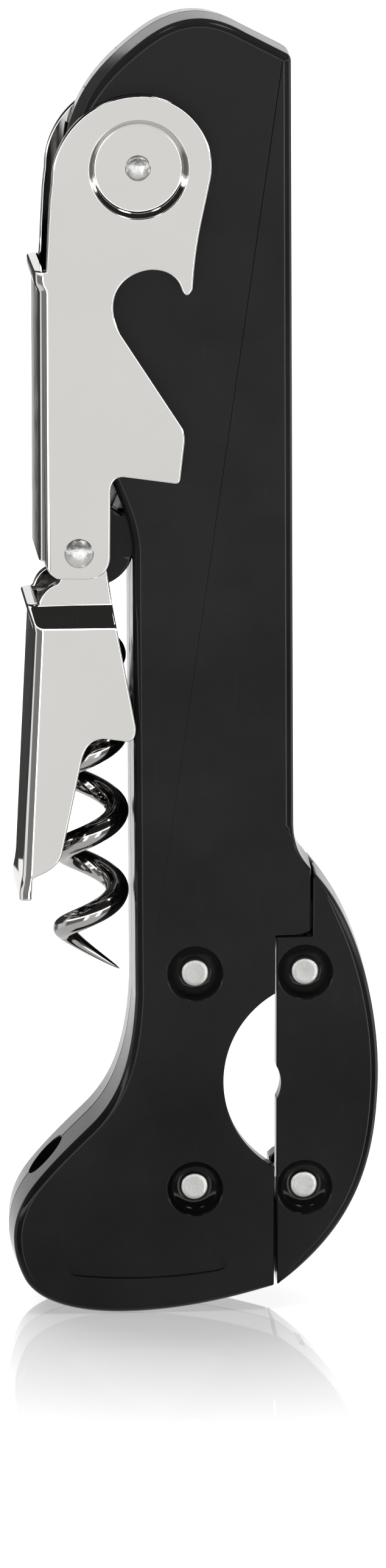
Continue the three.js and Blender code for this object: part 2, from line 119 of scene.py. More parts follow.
# ---------------------------------------------------------------- mesh tools
class Outline:
    """A closed outline in X and Z, drawn with the same calls as the CAD's shapes."""

    def __init__(self, x, z):
        self.points = [(x, z)]

    def line(self, x, z):
        self.points.append((x, z))
        return self

    def quad(self, cx, cz, x, z, n=10):
        x0, z0 = self.points[-1]
        for i in range(1, n + 1):
            t = i / n
            a, b, c = (1 - t) ** 2, 2 * t * (1 - t), t * t
            self.points.append((a * x0 + b * cx + c * x, a * z0 + b * cz + c * z))
        return self

    def cubic(self, ax, az, bx, bz, x, z, n=22):
        x0, z0 = self.points[-1]
        for i in range(1, n + 1):
            t = i / n
            a, b, c, d = (1 - t) ** 3, 3 * t * (1 - t) ** 2, 3 * t * t * (1 - t), t**3
            self.points.append((a * x0 + b * ax + c * bx + d * x, a * z0 + b * az + c * bz + d * z))
        return self

    def arc(self, cx, cz, r, start, end, n=40):
        for i in range(n + 1):
            a = start + (end - start) * i / n
            self.points.append((cx + r * math.cos(a), cz + r * math.sin(a)))
        return self

    def closed(self):
        """The points without repeats."""
        kept = []
        for p in self.points:
            if not kept or math.dist(p, kept[-1]) > 0.01:
                kept.append(p)
        if math.dist(kept[0], kept[-1]) <= 0.01:
            kept.pop()
        return kept


def mesh_object(name, verts, faces):
    mesh = bpy.data.meshes.new(name)
    mesh.from_pydata([tuple(v) for v in verts], [], faces)
    bm = bmesh.new()
    bm.from_mesh(mesh)
    bmesh.ops.recalc_face_normals(bm, faces=bm.faces)
    bm.to_mesh(mesh)
    bm.free()
    obj = bpy.data.objects.new(name, mesh)
    SCENE.collection.objects.link(obj)
    return obj


def prism(points, y0, y1):
    n = len(points)
    verts = [(x, y0, z) for x, z in points] + [(x, y1, z) for x, z in points]
    faces = [list(range(n)), list(range(2 * n - 1, n - 1, -1))]
    faces += [[i, (i + 1) % n, n + (i + 1) % n, n + i] for i in range(n)]
    return mesh_object("prism", verts, faces)


def rectangle(x0, x1, z0, z1):
    return [(x0, z0), (x1, z0), (x1, z1), (x0, z1)]


def block(x0, x1, y0, y1, z0, z1):
    return prism(rectangle(x0, x1, z0, z1), y0, y1)


def lathe(centre, profile, segments=64):
    """A turned solid about an axis along Y; the profile is (radius, y) from axis to axis."""
    cx, cz = centre
    verts, rings = [], []
    for r, y in profile:
        if r == 0:
            rings.append([len(verts)])
            verts.append((cx, y, cz))
            continue
        first = len(verts)
        for i in range(segments):
            a = 2 * math.pi * i / segments
            verts.append((cx + r * math.cos(a), y, cz + r * math.sin(a)))
        rings.append(list(range(first, first + segments)))
    faces = []
    for low, high in zip(rings, rings[1:]):
        for i in range(segments):
            j = (i + 1) % segments
            if len(low) == 1 and len(high) == 1:
                break
            if len(low) == 1:
                faces.append([low[0], high[i], high[j]])
            elif len(high) == 1:
                faces.append([low[i], high[0], low[j]])
            else:
                faces.append([low[i], high[i], high[j], low[j]])
    return mesh_object("lathe", verts, faces)


def rod(centre, r, y0, y1, segments=48):
    return lathe(centre, [(0, y0), (r, y0), (r, y1), (0, y1)], segments)


def bake(obj):
    """Applies the object's modifiers."""
    graph = bpy.context.evaluated_depsgraph_get()
    mesh = bpy.data.meshes.new_from_object(obj.evaluated_get(graph))
    obj.modifiers.clear()
    old, obj.data = obj.data, mesh
    bpy.data.meshes.remove(old)
    return obj


def boolean(obj, tool, operation):
    mod = obj.modifiers.new("boolean", "BOOLEAN")
    mod.operation = operation
    mod.solver = "MANIFOLD"
    mod.object = tool
    bake(obj)
    bpy.data.objects.remove(tool, do_unlink=True)
    if len(obj.data.polygons) < 6:
        raise RuntimeError(f"{operation} left nothing of {obj.name}")
    return obj


def cut(obj, *tools):
    for tool in tools:
        boolean(obj, tool, "DIFFERENCE")
    return obj


def join(obj, *others):
    for other in others:
        boolean(obj, other, "UNION")
    return obj


def mirrored(obj):
    """The object mirrored to the other side of Y = 0."""
    obj.data.transform(Matrix.Diagonal((1, -1, 1, 1)))
    obj.data.flip_normals()
    return obj


def on_side(obj, side):
    """Tools are modelled on the rear, at positive Y."""
    return obj if side > 0 else mirrored(obj)


def clean(obj):
    """Removes doubled points and merges flat faces."""
    bm = bmesh.new()
    bm.from_mesh(obj.data)
    bmesh.ops.remove_doubles(bm, verts=bm.verts, dist=0.002)
    bmesh.ops.dissolve_limit(bm, angle_limit=math.radians(0.4), verts=bm.verts, edges=bm.edges)
    bm.to_mesh(obj.data)
    bm.free()
    return obj


def round_edges(obj, width, segments, weight=None):
    """Rounds the sharp edges; weight(middle, edge) scales the width of each."""
    key = "bevel_weight_edge"
    bm = bmesh.new()
    bm.from_mesh(obj.data)
    layer = bm.edges.layers.float.get(key) or bm.edges.layers.float.new(key)
    for edge in bm.edges:
        edge[layer] = 0
        if edge.is_manifold and edge.calc_face_angle(0) > SHARP:
            middle = (edge.verts[0].co + edge.verts[1].co) / 2
            edge[layer] = weight(middle, edge) if weight else 1
    bm.to_mesh(obj.data)
    bm.free()
    mod = obj.modifiers.new("round", "BEVEL")
    mod.limit_method = "WEIGHT"
    mod.width = width
    mod.segments = segments
    mod.use_clamp_overlap = False
    bake(obj)
    bm = bmesh.new()
    bm.from_mesh(obj.data)
    used = bm.edges.layers.float.get(key)
    if used:
        bm.edges.layers.float.remove(used)
    bm.to_mesh(obj.data)
    bm.free()
    return obj


def retile(bm, y):
    """Cuts the flat faces at depth y into well-shaped triangles."""
    flat = [f for f in bm.faces if all(abs(v.co.y - y) < FLAT for v in f.verts)]
    flat = bmesh.ops.triangulate(bm, faces=flat)["faces"]
    chosen = set(flat)
    inside = [e for e in bm.edges if e.link_faces and chosen.issuperset(e.link_faces)]
    bmesh.ops.beautify_fill(bm, faces=flat, edges=inside, use_restrict_tag=False, method="ANGLE")


def flat_normals(obj, planes):
    """Gives the flat faces at these depths their exact normals, so they shade as one plane."""
    mesh = obj.data
    normals = [corner.vector.copy() for corner in mesh.corner_normals]
    level = {}
    for vert in mesh.vertices:
        if min(abs(abs(vert.co.y) - plane * MM) for plane in planes) < FLAT * MM:
            level[vert.index] = math.copysign(1, vert.co.y)
    for face in mesh.polygons:
        whole = all(index in level for index in face.vertices)
        for corner, index in zip(face.loop_indices, face.vertices):
            if index in level and (whole or face.normal.y * level[index] > 0.75):
                normals[corner] = Vector((0, level[index], 0))
    mesh.normals_split_custom_set(normals)


def piece(obj, name, body, nodes, material, planes=()):
    """Scales the piece to metres, sets its shading and finish, and fixes it to its body."""
    obj.name = obj.data.name = name
    bm = bmesh.new()
    bm.from_mesh(obj.data)
    for plane in planes:
        retile(bm, plane)
        retile(bm, -plane)
    bmesh.ops.scale(bm, vec=Vector((MM, MM, MM)), verts=bm.verts)
    for face in bm.faces:
        face.smooth = True
        face.material_index = 0
    for edge in bm.edges:
        edge.smooth = not edge.is_manifold or edge.calc_face_angle(0) < CREASE
    bm.to_mesh(obj.data)
    bm.free()
    obj.data.materials.clear()
    obj.data.materials.append(material)
    obj.modifiers.new("normals", "WEIGHTED_NORMAL").keep_sharp = True
    if planes:
        bake(obj)
        flat_normals(obj, planes)
    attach(obj, body)
    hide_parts(*nodes)
    return obj


# ---------------------------------------------------------------- materials
def node(tree, kind, **values):
    """A shader node with some of its settings or sockets set by name."""
    made = tree.nodes.new(kind)
    for key, value in values.items():
        if hasattr(made, key):
            setattr(made, key, value)
        else:
            made.inputs[key.replace("_", " ")].default_value = value
    return made


def ramp(tree, source, stops):
    """Colours by a source value: stops are (position, colour)."""
    made = tree.nodes.new("ShaderNodeValToRGB")
    tree.links.new(source, made.inputs["Fac"])
    elements = made.color_ramp.elements
    while len(elements) < len(stops):
        elements.new(0.5)
    for element, (position, value) in zip(elements, stops):
        element.position = position
        element.color = (*value, 1)
    return made.outputs["Color"]


def grey(value):
    return (value, value, value)


def surface(name, metallic, low, high, rough, mottle, scratches, bump, specular=0.5):
    """A finish with blotchy colour, uneven roughness, fine scratches and a slight surface bump.

    low and high are the two colours, rough their two roughnesses; mottle is blotches per metre,
    scratches the roughness they add, and bump the height of the surface's ripple in metres.
    """
    material = bpy.data.materials.new(name)
    material.use_nodes = True
    tree = material.node_tree
    shader = tree.nodes["Principled BSDF"]
    shader.inputs["Metallic"].default_value = metallic
    shader.inputs["Specular IOR Level"].default_value = specular
    place = node(tree, "ShaderNodeTexCoord").outputs["Object"]
    link = tree.links.new

    blotch = node(tree, "ShaderNodeTexNoise", Scale=mottle, Detail=5.0, Roughness=0.6)
    link(place, blotch.inputs["Vector"])
    tone = blotch.outputs["Fac"]
    if not metallic:
        # Painted light: the moulding's colour is made lighter towards its top, this much more tone
        # for each metre, to stand in for light falling brighter on its upper part
        rise = node(tree, "ShaderNodeSeparateXYZ")
        link(place, rise.inputs[0])
        painted_top_light = node(tree, "ShaderNodeMath", operation="MULTIPLY_ADD")
        link(rise.outputs["Z"], painted_top_light.inputs[0])
        painted_top_light.inputs[1].default_value = 3.4
        link(tone, painted_top_light.inputs[2])
        tone = painted_top_light.outputs[0]
    link(ramp(tree, tone, [(0.3, low), (0.9, high)]), shader.inputs["Base Color"])

    fine = node(tree, "ShaderNodeTexNoise", Scale=mottle * 7, Detail=3.0)
    link(place, fine.inputs["Vector"])
    total = ramp(tree, fine.outputs["Fac"], [(0.35, grey(rough[0])), (0.7, grey(rough[1]))])

    # Two families of hairline scratches: noise drawn out along a slanting direction
    lines = []
    for turn, stretch in ((0.35, 26.0), (-0.9, 18.0)):
        mapping = node(tree, "ShaderNodeMapping")
        mapping.inputs["Rotation"].default_value = (0.1, turn, 0.2)
        mapping.inputs["Scale"].default_value = (stretch, 1.0, 1.0)
        link(place, mapping.inputs["Vector"])
        hair = node(tree, "ShaderNodeTexNoise", Scale=150.0, Detail=2.0)
        link(mapping.outputs["Vector"], hair.inputs["Vector"])
        mark = ramp(tree, hair.outputs["Fac"], [(0.66, grey(0.0)), (0.72, grey(1.0))])
        lines.append(mark)
        mix = node(tree, "ShaderNodeMath", operation="MULTIPLY_ADD")
        link(mark, mix.inputs[0])
        mix.inputs[1].default_value = scratches
        link(total, mix.inputs[2])
        total = mix.outputs[0]
    link(total, shader.inputs["Roughness"])

    ripple = node(tree, "ShaderNodeTexNoise", Scale=mottle * 3, Detail=2.0)
    link(place, ripple.inputs["Vector"])
    height = node(tree, "ShaderNodeMath", operation="MULTIPLY_ADD")
    link(lines[0], height.inputs[0])
    height.inputs[1].default_value = -0.06
    link(ripple.outputs["Fac"], height.inputs[2])
    relief = node(tree, "ShaderNodeBump")
    relief.inputs["Strength"].default_value = 1.0
    relief.inputs["Distance"].default_value = bump
    link(height.outputs[0], relief.inputs["Height"])
    link(relief.outputs["Normal"], shader.inputs["Normal"])
    return material


# The plastic's colour has painted light in it: surface() makes it lighter towards the top
PLASTIC = surface("black_moulded_plastic", 0.0, grey(0.0012), grey(0.0115), (0.09, 0.15),
                  60, 0.10, 0.000006, specular=0.14)
LEVER = surface("plated_lever_steel", 1.0, (0.64, 0.625, 0.605), (0.68, 0.668, 0.65), (0.055, 0.09),
                45, 0.05, 0.000003)
WORM = surface("dark_polished_wire", 1.0, (0.36, 0.35, 0.34), (0.46, 0.45, 0.435), (0.07, 0.13),
               90, 0.08, 0.000004)
PIN = surface("satin_pin_steel", 1.0, (0.34, 0.34, 0.33), (0.45, 0.45, 0.435), (0.3, 0.42),
              500, 0.06, 0.00002)
RIVET = surface("hammered_rivet_steel", 1.0, (0.52, 0.52, 0.51), (0.68, 0.68, 0.67), (0.36, 0.46),
                700, 0.06, 0.00006)
# Painted shade: the steel inside the handle is given a dark base colour to stand in for the shade
# in the gaps where it shows
SHADE_DARKENED_INNER = surface("inner_steel_painted_shade", 1.0, (0.16, 0.16, 0.155), (0.24, 0.24, 0.23), (0.25, 0.38),
                200, 0.1, 0.00001)
WHEEL = surface("ground_wheel_steel", 1.0, grey(0.30), grey(0.40), (0.2, 0.3), 300, 0.1, 0.00001)


# ---------------------------------------------------------------- handle and jaw
def full_outline():
    """The side view of the handle with its jaw closed."""
    s = Outline(10.7, 55).line(10.25, 139)
    s.quad(10.25, 139.55, 9.8, 139.8, 6).line(5.2, 142.15)
    s.quad(2.6, 143.65, 0.3, 143.65).quad(-2.6, 143.65, -5.4, 141.6)
    s.cubic(-9, 138.9, -13.4, 135, -13.5, 128.6, 26).line(-12.9, 108)
    s.cubic(-12.6, 97, -7, 91.5, -6.95, 85.5, 30).line(-6.7, 36)
    s.cubic(-7, 28.5, -8.6, 24.4, -11.6, 21.4, 26).cubic(-14.5, 18.6, -16.5, 16.6, -18.2, 14.4, 16)
    s.cubic(-20.4, 11.5, -21, 7.8, -19, 3.9, 24).cubic(-17.6, 1.3, -13.4, 0, -8, 0, 22)
    s.cubic(-3, 0, 3, 0.9, 9.1, 3, 16).cubic(18.2, 9.3, 19.75, 17.6, 20.1, 24, 40)
    s.cubic(20.4, 28.5, 19.95, 33.2, 18.75, 37.9, 24).cubic(17.5, 42.7, 15.6, 46.9, 12.8, 49.85, 24)
    s.cubic(11.6, 51.1, 10.7, 52.5, 10.7, 55, 14)
    return s.closed()


OUTLINE = full_outline()


def seam_regions(side):
    """Handle and jaw either side of their seam.

    The rear half closes the seam tighter, so that no light comes through.
    """
    low, step, shoulder = (8.62, 42.6, 12.62) if side < 0 else (8.8, 42.53, 12.8)
    handle = [(-30, -5), (8.62, -5), (8.62, 1.5), (low, 1.7), (low, 14), (8.7, 17), (8.7, step)]
    for i in range(7):
        # The corner is relieved along the arc that the jaw's shelf sweeps
        x = 11 + (shoulder - 11) * i / 6
        drop = math.sqrt(SHELF_SWEEP ** 2 - (x - JAW_PIVOT[0]) ** 2)
        handle.append((x, max(step, JAW_PIVOT[1] - drop)))
    handle += [(shoulder, 60), (20, 60), (20, 150), (-30, 150)]
    jaw = [(9.0, -5), (30, -5), (30, 60), (13.5, 60), (13.5, 50), (12.84, 49), (12.84, 42.5),
           (8.82, 42.5), (8.84, 14), (9.0 if side < 0 else 8.84, 1.8)]
    return handle, jaw


def nearest_edge(points, x, z):
    """Distance from a point to a closed outline, and the direction of the outline there."""
    p = Vector((x, z))
    best, direction = math.inf, None
    for i, a in enumerate(points):
        a, b = Vector(a), Vector(points[(i + 1) % len(points)])
        along = b - a
        t = min(1, max(0, (p - a).dot(along) / along.length_squared))
        distance = (a + along * t - p).length
        if distance < best:
            best, direction = distance, along
    return best, direction


def shell_half(region, side):
    """One moulded half, front (-1) or rear (1), with rounded outer edges and broken seam edges."""
    body = prism(OUTLINE, PARTING, HALF)
    boolean(body, prism(region, -20, 20), "INTERSECT")
    clean(body)

    def weight(middle, edge):
        across = abs(edge.verts[0].co.y - edge.verts[1].co.y) > 1
        if across:
            return SEAM_BREAK
        if middle.y < 1:
            return PARTING_BREAK
        if nearest_edge(OUTLINE, middle.x, middle.z)[0] > 0.05:
            return SEAM_BREAK
        # The outer rounding fades out where it runs into a seam
        fade = min(1, nearest_edge(region, middle.x, middle.z)[0] / FADE)
        return SEAM_BREAK + (1 - SEAM_BREAK) * fade * fade * (3 - 2 * fade)

    round_edges(body, RIM, 5, weight)
    for vert in body.data.vertices:
        if HALF - SNAP < vert.co.y < HALF:
            vert.co.y = HALF
    crown_wall(body)
    return on_side(body, side)


def crown_wall(body):
    """Draft of the moulded wall: it leans out to the parting line, least where the worm lies."""
    for vert in body.data.vertices:
        if vert.co.y > 1:
            continue
        distance, along = nearest_edge(OUTLINE, vert.co.x, vert.co.z)
        if distance >= 0.25:
            continue
        normal = Vector((along.y, -along.x)).normalized()
        amount = CROWN
        if vert.co.x < 0:
            amount = CROWN * min(1, 0.15 + max(0, 36 - vert.co.z, vert.co.z - 94) / 10)
        if vert.co.z < 3:
            amount *= max(0, vert.co.z / 3)
        vert.co.x += normal.x * amount
        vert.co.z += normal.y * amount


def mouth(r, lip, steps):
    """The start of a round cutter's profile: from past the rear face down over a rounded lip."""
    profile = [(0, HALF + PAST), (r + lip, HALF + PAST), (r + lip, HALF + 0.004)]
    for i in range(1, steps + 1):
        a = math.pi / 2 * i / steps
        profile.append((r + lip - lip * math.sin(a), HALF - lip + lip * math.cos(a)))
    return profile


def flared(centre, r, floor, lip, steps, segments=160):
    """A round cutter from the rear face down to y = floor, with a rounded lip."""
    return lathe(centre, mouth(r, lip, steps) + [(r, floor), (0, floor)], segments)


def pin_recess(x, z, side):
    """Deep round recess with its pin hole."""
    floor = HALF - RECESS_DEPTH
    bowl = mouth(RECESS_R, RECESS_LIP, 4)
    low_r = HEAD_R + 0.1
    for i in range(1, 9):
        a = math.pi / 2 * i / 8
        bowl.append((low_r + (RECESS_R - low_r) * math.cos(a),
                     HALF - RECESS_LIP - (RECESS_DEPTH - RECESS_LIP) * math.sin(a)))
    seat = lathe((x, z), bowl + [(0, floor)], 72)
    hole = lathe((x, z), [
        (0, -1), (SHAFT_R + 0.1, -1), (SHAFT_R + 0.1, floor - 1.1), (HEAD_R + 0.06, floor - 1.1),
        (HEAD_R + 0.06, floor + 0.3), (0, floor + 0.3),
    ], 48)
    return [on_side(seat, side), on_side(hole, side)]


def core_pocket():
    """Outline of the core plate's pocket: the plate's own outline with a little room round it."""
    g = 0.1
    return [
        (-10.2 - g, 133 + g), (1.5 + g, 133 + g), (4 + g, 128), (4 + g, 66 - g), (-3.5 - g, 66 - g),
        (-3.5 - g, 84 - g), (-5.2 - g, 89.6 - g), (-9.7 - g, 89.6 - g), (-9.7 - g, 93.5 + g),
        (-8 - g, 96), (-10.2 - g, 104),
    ]


def inner(points, side, depth):
    """A pocket from the parting face into one half."""
    return on_side(prism(points, -1, depth), side)


def butt_panel():
    """Shallow fan-shaped panel that deepens towards its lower arc."""
    s = Outline(-14.1, 5.9).cubic(-11, 8.6, -7, 11, -4, 11.6, 20)
    s.cubic(-1.4, 10.6, 1.4, 8.2, 3.3, 5.8, 20)
    s.cubic(3.6, 5.2, 3, 4.7, 2.2, 4.6, 8).cubic(-3, 3.8, -8, 3.7, -13.2, 4.3, 24)
    s.cubic(-14.2, 4.5, -14.5, 5.2, -14.1, 5.9, 8)
    tool = prism(s.closed(), -9, -HALF)
    for vert in tool.data.vertices:
        if vert.co.y > -HALF - 0.01:
            vert.co.y = -HALF + 0.02 + 0.36 * (11.7 - vert.co.z) / 8
    return tool


def cord_hole():
    """Blind hole square to the butt's slanting left edge, with a softened mouth."""
    mouth_r = CORD_HOLE_R + 0.35
    hole = lathe((0, 0), [(0, -6), (CORD_HOLE_R, -6), (CORD_HOLE_R, 0.02), (mouth_r, 0.45),
                          (mouth_r, 7), (0, 7)])
    # The lathe's axis is Y; lay it along the outward direction of the slanting edge
    outward = Vector((-1, 0, 1)).normalized()
    turn = Vector((0, 1, 0)).rotation_difference(outward).to_matrix().to_4x4()
    hole.data.transform(Matrix.Translation((CORD_HOLE[0] + 0.1, 0, CORD_HOLE[1] - 0.1)) @ turn)
    return hole


def front_plate_back(centre):
    """Cutter for the cavity behind the front plate."""
    return lathe(centre, [(0, PLATE_BACK), (CAVITY_R, PLATE_BACK), (CAVITY_R, 2), (0, 2)], 160)


def handle_shell(side):
    body = shell_half(seam_regions(side)[0], side)

    # Ears that carry the worm's pin
    boss = lathe(WORM_PIVOT, [(0, 2.9), (4.35, 2.9), (4.6, 3.15), (4.6, 4.65), (4.5, 4.83),
                              (4.3, 4.9), (0, 4.9)], 72)
    root = block(WORM_PIVOT[0] + 2, -5, 2.9, 4.9, WORM_PIVOT[1] - 1.2, WORM_PIVOT[1] + 3.2)
    join(body, on_side(root, side), on_side(boss, side))
    cut(body, on_side(rod(WORM_PIVOT, 1.25, 2, 6), side))

    # Recess of the lever pivot, open to the left edge, and the hole for its bush
    cut(body, on_side(rod(LEVER_PIVOT, 6.5, 4.3, 12, 96), side),
        on_side(block(-16, LEVER_PIVOT[0], 4.3, 12, 122, 131), side),
        on_side(rod(LEVER_PIVOT, 2.3, -1, 12, 48), side))

    # Core plate and lightening pockets
    cut(body, inner(core_pocket(), side, 1.05))
    for z0, z1 in ((68, 80), (82, 100), (103, 117)):
        cut(body, inner(rectangle(-2.8, 7.6, z0, z1), side, 4.4))
    cut(body, inner(rectangle(0.6, 7.6, 120, 136), side, 4.4))

    # Foil cutter: window in the front plate and the deeper cavity behind it
    if side < 0:
        cut(body, front_plate_back(CAVITY_HANDLE), mirrored(flared(WINDOW, WINDOW_R, -1, 0.16, 3)))
    else:
        cut(body, flared(CAVITY_HANDLE, CAVITY_R, -2, 0.3, 4))
    for z in PIN_Z.values():
        cut(body, *pin_recess(PIN_X["left"], z, side))
        if side > 0:
            cut(body, rod((PIN_X["left"], z), WHEEL_R + 0.4, -1, 3.7, 64))

    # Slots for the jaw's arm, its hinge pin and its spring
    slot = [(7.9, 48.6), (9.2, 47.7), (10.6, 43.2), (20, 42.9), (20, 49.3), (12.3, 49.3),
            (11.4, 50.5), (10.2, 51.4), (8.6, 51.1), (7.8, 50)]
    cut(body, inner(slot, side, 1.25), inner(rectangle(1.5, 9.9, 50.4, 52.9), side, 1.25),
        on_side(rod(JAW_PIVOT, 0.85, -1, 4, 32), side))
    cut(body, inner(rectangle(3.2, 20, 4.3, 11.8), side, 1.8), cord_hole())
    if side < 0:
        # Pocket of the worm's spring, and the fan panel, in the front half only
        pocket = [(-5.6, 110.4), (-4.2, 110.4), (-4.5, 100), (-6.1, 93.3), (-6.1, 88), (-14, 88),
                  (-14, 90), (-9.3, 90.6), (-7.8, 94.2), (-5.9, 100.3)]
        cut(body, inner(pocket, side, 2.9), butt_panel())
    return body


def jaw_shell(side):
    body = shell_half(seam_regions(side)[1], side)
    if side < 0:
        # The front plate also has a shallow scallop
        cut(body, front_plate_back(CAVITY_JAW), mirrored(flared(SCALLOP, 3.72, -1, 0.12, 3, 72)))
    else:
        cut(body, flared(CAVITY_JAW, CAVITY_R, -2, 0.3, 4), rod(SCALLOP, 3.75, -2, 12, 72))
    arm = [(12.2, 43.1), (13.0, 42), (10.1, 41.2), (9.9, 35.9), (14.1, 35.9), (16.5, 41.6),
           (15.5, 44.9), (12.2, 46.2)]
    cut(body, inner(arm, side, 1.2), inner(rectangle(0, 12.5, 4.6, 11.5), side, 1.8),
        inner(rectangle(14.6, 17.4, 17, 35), side, 4.2))
    for z in PIN_Z.values():
        cut(body, *pin_recess(PIN_X["right"], z, side))
        if side > 0:
            cut(body, rod((PIN_X["right"], z), WHEEL_R + 0.4, -1, 3.7, 64))
    return body


# ---------------------------------------------------------------- levers
def channel(sections, x_open):
    """Sheet channel lofted up Z from sections (z, half width, outer face of the web)."""
    steps = 7

    def ring(w, xw, t):
        """Half the sheet's section, t inside its outer face."""
        r = max(BEND - t, 0.3)
        points = [(x_open, -w + t)]
        for i in range(steps + 1):
            a = math.pi / 2 * i / steps
            points.append((xw + t + r - r * math.sin(a), -w + t + r - r * math.cos(a)))
        for i in range(steps + 1):
            a = math.pi / 2 * i / steps
            points.append((xw + t + r - r * math.cos(a), w - t - r + r * math.sin(a)))
        points.append((x_open, w - t))
        return points

    loops = [[(x, y, z) for x, y in ring(w, xw, 0) + ring(w, xw, SHEET)[::-1]]
             for z, w, xw in sections]
    n = len(loops[0])
    faces = []
    for k in range(len(loops) - 1):
        for i in range(n):
            j = (i + 1) % n
            faces.append([k * n + i, k * n + j, (k + 1) * n + j, (k + 1) * n + i])
    last = (len(loops) - 1) * n
    faces.append(list(range(n)))
    faces.append([last + i for i in reversed(range(n))])
    return mesh_object("channel", [p for loop in loops for p in loop], faces)


def upper_lever_outline():
    s = Outline(-6.2, 135.65).arc(-6.2, 127.9, 7.75, math.pi / 2, -0.25, 56)
    s.cubic(0.7, 122.8, -0.2, 120, -0.5, 114.6, 18)
    s.quad(-1.1, 113.3, -1.7, 114.4, 8).cubic(-2.1, 116, -3.4, 116.75, -5.1, 116.7, 16)
    s.cubic(-7.3, 116.5, -9.1, 115, -9.1, 112.7, 18).quad(-9.1, 111.2, -8.3, 109.8, 8)
    s.line(-1.8, 99.8).quad(-1.25, 98.8, -1.4, 97.7, 6)
    s.line(-1.85, 93.8).quad(-1.9, 93.3, -2.4, 93.3, 5)
    s.line(-8.1, 94.1).quad(-9.4, 94.1, -9.45, 92.4, 10).line(-9.5, 85.2)
    s.quad(-9.7, 83, -12.2, 82.9, 14).line(-15, 82.95).quad(-16.2, 83.1, -16.7, 84.9, 12)
    s.line(-19, 85).line(-19, 116.7).line(-16.4, 116.7).line(-16, 124.2)
    s.arc(-6.3, 126.15, 9.47, math.pi, math.pi / 2, 40)
    return s.closed()


def upper_lever():
    webs = [(80, -17.25), (114.3, -17.25), (114.7, -17.35), (115.1, -17.6), (115.6, -17.72),
            (140, -17.72)]
    sections = [(z, CHEEK_OUT, web) for z, web in webs]
    body = boolean(channel(sections, 4), prism(upper_lever_outline(), -12, 12), "INTERSECT")
    clean(body)
    round_edges(body, SHEET_EDGE, 3)
    # The pressed dimple round the pivot: its outside, then its dished face
    cup = [(0, 4.7), (5.35, 4.7), (5.7, 4.85), (5.9, 5.2), (6.2, 7.3), (0, 7.3)]
    bowl = [(0, 9), (5.46, 9), (5.46, 7.904), (5.38, 7.87), (5.31, 7.8), (5.26, 7.7), (4.98, 6.82),
            (4.91, 6.66), (4.8, 6.55), (4.62, DIMPLE_FLOOR), (0, DIMPLE_FLOOR)]
    for side in (-1, 1):
        join(body, on_side(lathe(LEVER_PIVOT, cup, 96), side))
        cut(body, on_side(lathe(LEVER_PIVOT, bowl, 128), side))
        for pivot in (LEVER_PIVOT, JOINT_PIVOT):
            cut(body, on_side(rod(pivot, BORE, 4, 12, 40), side))
    # Between the cheeks the spine stops short, so the lower lever's neck swings clear
    return cut(body, block(-17.4, -15.9, -6.68, 6.68, 80, 84.9))


def lower_lever_outline():
    jx, jz = JOINT_PIVOT
    s = Outline(jx + 2.85, jz).arc(jx, jz, 2.85, 0, math.pi * 1.33, 40)
    s.line(-15.2, 82.3).quad(-16.8, 81.8, -17.25, 80, 12).line(-21, 79.7)
    s.line(-21, 47).line(-18.2, 47.3).line(-18.1, 49.7)
    s.line(-17.3, 50.1).quad(-15.2, 50.9, -14.8, 52.6, 14)
    s.line(-12.7, 62.6).quad(-12.2, 65.2, -10.2, 65.2, 14)
    s.line(-7.7, 64.85).quad(-6.6, 64.9, -6.75, 66.6, 12)
    s.line(-8.9, 78).quad(-9.7, 83, -10.05, jz, 10)
    return s.closed()


def lower_lever():
    sections = [
        (44, CHEEK_OUT, -19.62), (48.2, CHEEK_OUT, -19.5), (49.2, CHEEK_OUT, -19.3),
        (50.2, CHEEK_OUT, -19.17), (77.1, CHEEK_OUT, -17.85), (77.5, CHEEK_OUT - 0.03, -17.9),
        (77.8, CHEEK_OUT - 0.13, -17.95), (78.05, CHEEK_OUT - 0.33, -18.04),
        (79.4, NECK_OUT + 0.22, -18.5), (79.7, NECK_OUT + 0.06, -18.6),
        (80, NECK_OUT, -18.6), (92, NECK_OUT, -18.6),
    ]
    body = boolean(channel(sections, -4), prism(lower_lever_outline(), -12, 12), "INTERSECT")
    clean(body)
    round_edges(body, SHEET_EDGE, 3)
    return cut(body, rod(JOINT_PIVOT, BORE, -12, 12, 40))


